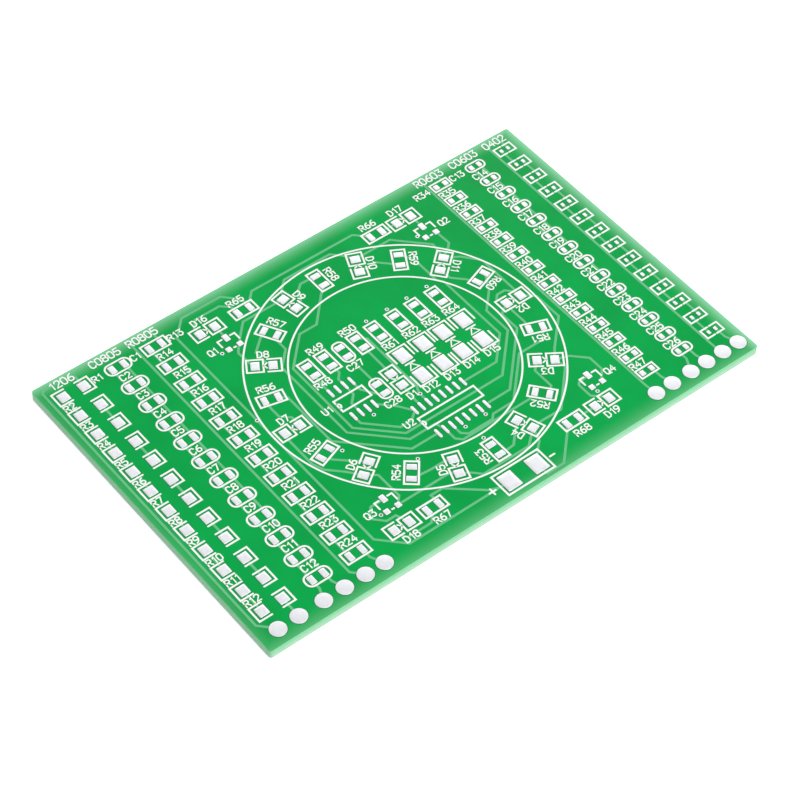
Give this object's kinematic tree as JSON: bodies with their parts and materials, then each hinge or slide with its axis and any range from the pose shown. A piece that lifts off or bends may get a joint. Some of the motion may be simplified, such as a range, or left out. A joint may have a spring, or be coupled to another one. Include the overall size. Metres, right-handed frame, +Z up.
{
  "type": "soldering practice board",
  "caption": "Flat rectangular green circuit board with columns of tinned solder pads, a legend ring of footprints and white part outlines, for practising hand soldering.",
  "frame": {"origin": "middle of the board's underside", "axes": "+X along the board's length, towards the smallest chip column; +Y towards the edge with the column headings; +Z up, out of the pad side"},
  "size_m": [0.0888, 0.0574, 0.0017],
  "materials": {
    "solder_mask": "glossy green solder mask on glass-epoxy laminate",
    "masked_copper": "glossy paler green, solder mask over copper",
    "tinned_copper": "bright levelled tin",
    "legend_ink": "matt white screen ink"
  },
  "bodies": {
    "root": {"board": "solder_mask", "left_tracks": "masked_copper", "ring_tracks": "masked_copper", "right_tracks": "masked_copper", "resistor_1206_pads": "tinned_copper", "capacitor_0805_pads": "tinned_copper", "resistor_0805_pads": "tinned_copper", "resistor_0603_pads": "tinned_copper", "capacitor_0603_pads": "tinned_copper", "chip_0402_pads": "tinned_copper", "ring_led_pads": "tinned_copper", "ring_resistor_pads": "tinned_copper", "centre_resistor_pads": "tinned_copper", "centre_capacitor_pads": "tinned_copper", "indicator_led_pads": "tinned_copper", "diode_pads": "tinned_copper", "timer_pads": "tinned_copper", "counter_pads": "tinned_copper", "corner_led_pads": "tinned_copper", "corner_resistor_pads": "tinned_copper", "transistor_pads": "tinned_copper", "supply_pads": "tinned_copper", "test_pads": "tinned_copper", "legend_rings": "legend_ink", "legend_outlines": "legend_ink"}
  },
  "joints": []
}
